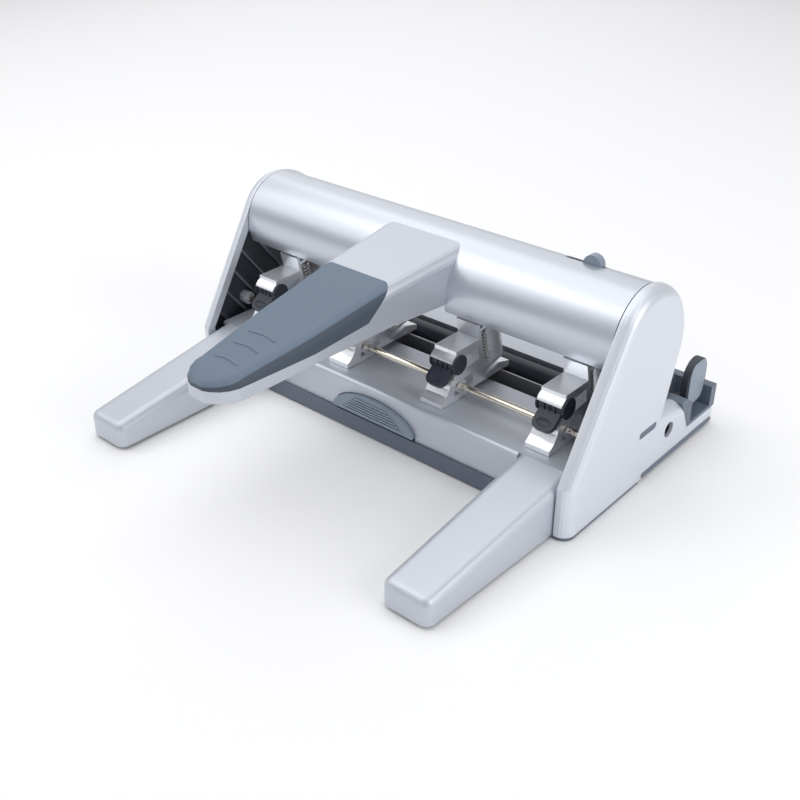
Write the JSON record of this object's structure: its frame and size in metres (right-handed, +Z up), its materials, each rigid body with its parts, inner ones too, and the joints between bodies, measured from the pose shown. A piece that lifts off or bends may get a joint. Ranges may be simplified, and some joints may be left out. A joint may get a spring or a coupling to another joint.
{
  "type": "paper_punch",
  "caption": "Manual paper punch with a long hand lever on a turning barrel, sliding punching heads on a rod, chip tray and folding side guide.",
  "frame": {"origin": "on the desk under the middle of the bounding box", "axes": "+X along the row of heads to the right, -Y towards the hand lever, +Z up"},
  "size_m": [0.3164, 0.3068, 0.138],
  "materials": {
    "silver_plastic": "fine silver lacquer over moulded plastic",
    "silver_paint": "fine silver lacquer",
    "dark_plastic": "fine matt grain",
    "slate_plastic": "fine matt grain",
    "grip_rubber": "soft satin skin",
    "foot_rubber": "plain matt",
    "bright_aluminium": "extruded and cut, lightly brushed",
    "steel": "drawn steel",
    "rod_brass": "pale drawn metal"
  },
  "bodies": {
    "base": {"base_frame": "dark_plastic", "bottom_plate": "dark_plastic", "bottom_screws": "steel", "rubber_feet": "foot_rubber", "table_cover": "silver_plastic", "rear_deck": "silver_plastic", "left_side_cover": "silver_plastic", "right_side_cover": "silver_plastic", "side_trim_strips": "slate_plastic", "side_windows": "slate_plastic", "axle": "steel", "axle_bushes": "rod_brass", "guide_rod": "rod_brass", "index_rail": "steel", "paper_ledge": "dark_plastic", "guide_housing": "slate_plastic"},
    "lever": {"lever_barrel": "silver_paint", "lever_handle": "silver_plastic", "lever_grip": "grip_rubber", "lever_liner": "dark_plastic", "drive_bar": "steel"},
    "lock": {"lock_slider": "slate_plastic"},
    "tray": {"chip_tray": "slate_plastic", "thumb_pad": "slate_plastic"},
    "side_guide": {"guide_slide": "steel", "paddle_pin": "steel"},
    "paddle": {"guide_paddle": "dark_plastic"},
    "head_1": {"head_frame_1": "bright_aluminium", "pin_spring_1": "steel"},
    "pin_1": {"punch_pin_1": "steel", "spring_collar_1": "steel"},
    "clamp_1": {"clamp_lever_1": "slate_plastic"},
    "head_2": {"head_frame_2": "bright_aluminium", "pin_spring_2": "steel"},
    "pin_2": {"punch_pin_2": "steel", "spring_collar_2": "steel"},
    "clamp_2": {"clamp_lever_2": "slate_plastic"},
    "head_3": {"head_frame_3": "bright_aluminium", "pin_spring_3": "steel"},
    "pin_3": {"punch_pin_3": "steel", "spring_collar_3": "steel"},
    "clamp_3": {"clamp_lever_3": "slate_plastic"},
    "head_4": {"head_frame_4": "bright_aluminium", "pin_spring_4": "steel"},
    "pin_4": {"punch_pin_4": "steel", "spring_collar_4": "steel"},
    "clamp_4": {"clamp_lever_4": "slate_plastic"}
  },
  "joints": [
    {"name": "lever_hinge", "type": "hinge", "parent": "base", "child": "lever", "pos_m": [0, 0.0507, 0.102], "axis": [1, 0, 0], "range_deg": [0, 17.5]},
    {"name": "lock_slide", "type": "slide", "parent": "lever", "child": "lock", "axis": [1, 0, 0], "range_m": [-0.011, 0.001]},
    {"name": "tray_slide", "type": "slide", "parent": "base", "child": "tray", "axis": [0, -1, 0], "range_m": [0, 0.07]},
    {"name": "guide_slide_x", "type": "slide", "parent": "base", "child": "side_guide", "axis": [1, 0, 0], "range_m": [0, 0.045]},
    {"name": "paddle_fold", "type": "hinge", "parent": "side_guide", "child": "paddle", "pos_m": [0.1448, 0.131, 0.0187], "axis": [0, 1, 0], "range_deg": [0, 30]},
    {"name": "head_1_slide", "type": "slide", "parent": "base", "child": "head_1", "axis": [1, 0, 0], "range_m": [-0.009, 0.02]},
    {"name": "pin_1_stroke", "type": "slide", "parent": "head_1", "child": "pin_1", "axis": [0, 0.225, -0.9744], "range_m": [0, 0.0045], "stiffness_N_per_m": 60, "springref_m": -0.002, "deforming": ["pin_spring_1"]},
    {"name": "clamp_1_turn", "type": "hinge", "parent": "head_1", "child": "clamp_1", "pos_m": [-0.12, 0.0123, 0.0626], "axis": [-1, 0, 0], "range_deg": [0, 34]},
    {"name": "head_2_slide", "type": "slide", "parent": "base", "child": "head_2", "axis": [1, 0, 0], "range_m": [-0.02, 0.02]},
    {"name": "pin_2_stroke", "type": "slide", "parent": "head_2", "child": "pin_2", "axis": [0, 0.225, -0.9744], "range_m": [0, 0.0045], "stiffness_N_per_m": 60, "springref_m": -0.002, "deforming": ["pin_spring_2"]},
    {"name": "clamp_2_turn", "type": "hinge", "parent": "head_2", "child": "clamp_2", "pos_m": [-0.04, 0.0123, 0.0626], "axis": [-1, 0, 0], "range_deg": [0, 34]},
    {"name": "head_3_slide", "type": "slide", "parent": "base", "child": "head_3", "axis": [1, 0, 0], "range_m": [-0.02, 0.02]},
    {"name": "pin_3_stroke", "type": "slide", "parent": "head_3", "child": "pin_3", "axis": [0, 0.225, -0.9744], "range_m": [0, 0.0045], "stiffness_N_per_m": 60, "springref_m": -0.002, "deforming": ["pin_spring_3"]},
    {"name": "clamp_3_turn", "type": "hinge", "parent": "head_3", "child": "clamp_3", "pos_m": [0.04, 0.0123, 0.0626], "axis": [-1, 0, 0], "range_deg": [0, 34]},
    {"name": "head_4_slide", "type": "slide", "parent": "base", "child": "head_4", "axis": [1, 0, 0], "range_m": [-0.02, 0.009]},
    {"name": "pin_4_stroke", "type": "slide", "parent": "head_4", "child": "pin_4", "axis": [0, 0.225, -0.9744], "range_m": [0, 0.0045], "stiffness_N_per_m": 60, "springref_m": -0.002, "deforming": ["pin_spring_4"]},
    {"name": "clamp_4_turn", "type": "hinge", "parent": "head_4", "child": "clamp_4", "pos_m": [0.12, 0.0123, 0.0626], "axis": [-1, 0, 0], "range_deg": [0, 34]}
  ],
  "couplings": [
    {"joint": "pin_1_stroke", "follows": "lever_hinge", "m_per_rad": 0.0128},
    {"joint": "pin_2_stroke", "follows": "lever_hinge", "m_per_rad": 0.0128},
    {"joint": "pin_3_stroke", "follows": "lever_hinge", "m_per_rad": 0.0128},
    {"joint": "pin_4_stroke", "follows": "lever_hinge", "m_per_rad": 0.0128}
  ]
}
